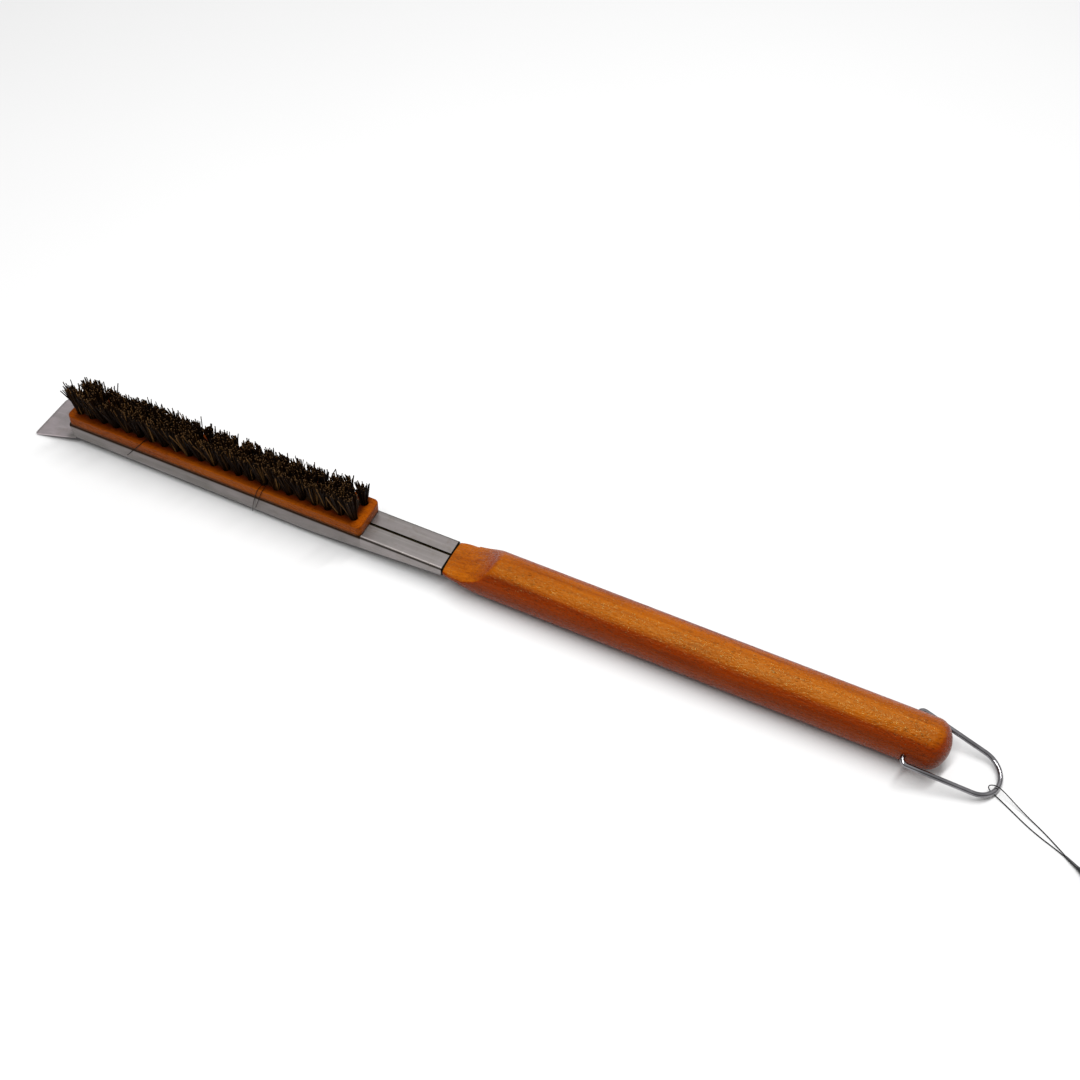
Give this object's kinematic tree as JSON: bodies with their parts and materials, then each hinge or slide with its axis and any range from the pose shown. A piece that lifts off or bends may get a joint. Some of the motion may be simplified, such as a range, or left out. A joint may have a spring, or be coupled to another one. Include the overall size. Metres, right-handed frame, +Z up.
{
  "type": "grill cleaning brush",
  "caption": "Long-handled grill cleaning brush: a folded steel channel with a flared scraper carries a wooden block of dark fibre tufts, on a round wooden handle with a swinging hanging loop.",
  "frame": {"origin": "on the surface the brush rests on, under the middle of the tool without its tag string and lock", "axes": "+X from the scraper towards the hanging loop, +Y across the tool, +Z up through the bristles"},
  "size_m": [0.6996, 0.0617, 0.0477],
  "materials": {
    "stainless": "fine brushed, satin",
    "beech": "warm orange-brown gloss varnish",
    "block_wood": "orange-brown stain, satin",
    "palm_fibre": "dry near-black brown plant fibre",
    "staple_wire": "flat wire",
    "screw_steel": "zinc plated",
    "bright_wire": "bright plated, polished",
    "black_cord": "fine black cord",
    "black_plastic": "black, semi-gloss"
  },
  "bodies": {
    "brush": {"scraper_channel": "stainless", "handle": "beech", "brush_block": "block_wood", "bristle_row_near": "palm_fibre", "bristle_row_middle": "palm_fibre", "bristle_row_far": "palm_fibre", "staple_row_near": "staple_wire", "staple_row_middle": "staple_wire", "staple_row_far": "staple_wire", "head_screw_front": "screw_steel", "head_screw_middle": "screw_steel", "head_screw_rear": "screw_steel", "head_washer_front": "screw_steel", "head_washer_middle": "screw_steel", "head_washer_rear": "screw_steel", "tenon_screw_front": "screw_steel", "tenon_screw_rear": "screw_steel"},
    "loop": {"hanging_loop": "bright_wire", "tag_string": "black_cord", "tag_lock": "black_plastic"}
  },
  "joints": [
    {"name": "loop_swing", "type": "hinge", "parent": "brush", "child": "loop", "pos_m": [0.2633, 0, 0.015], "axis": [0, -1, 0], "range_deg": [-147, 172.9]}
  ]
}
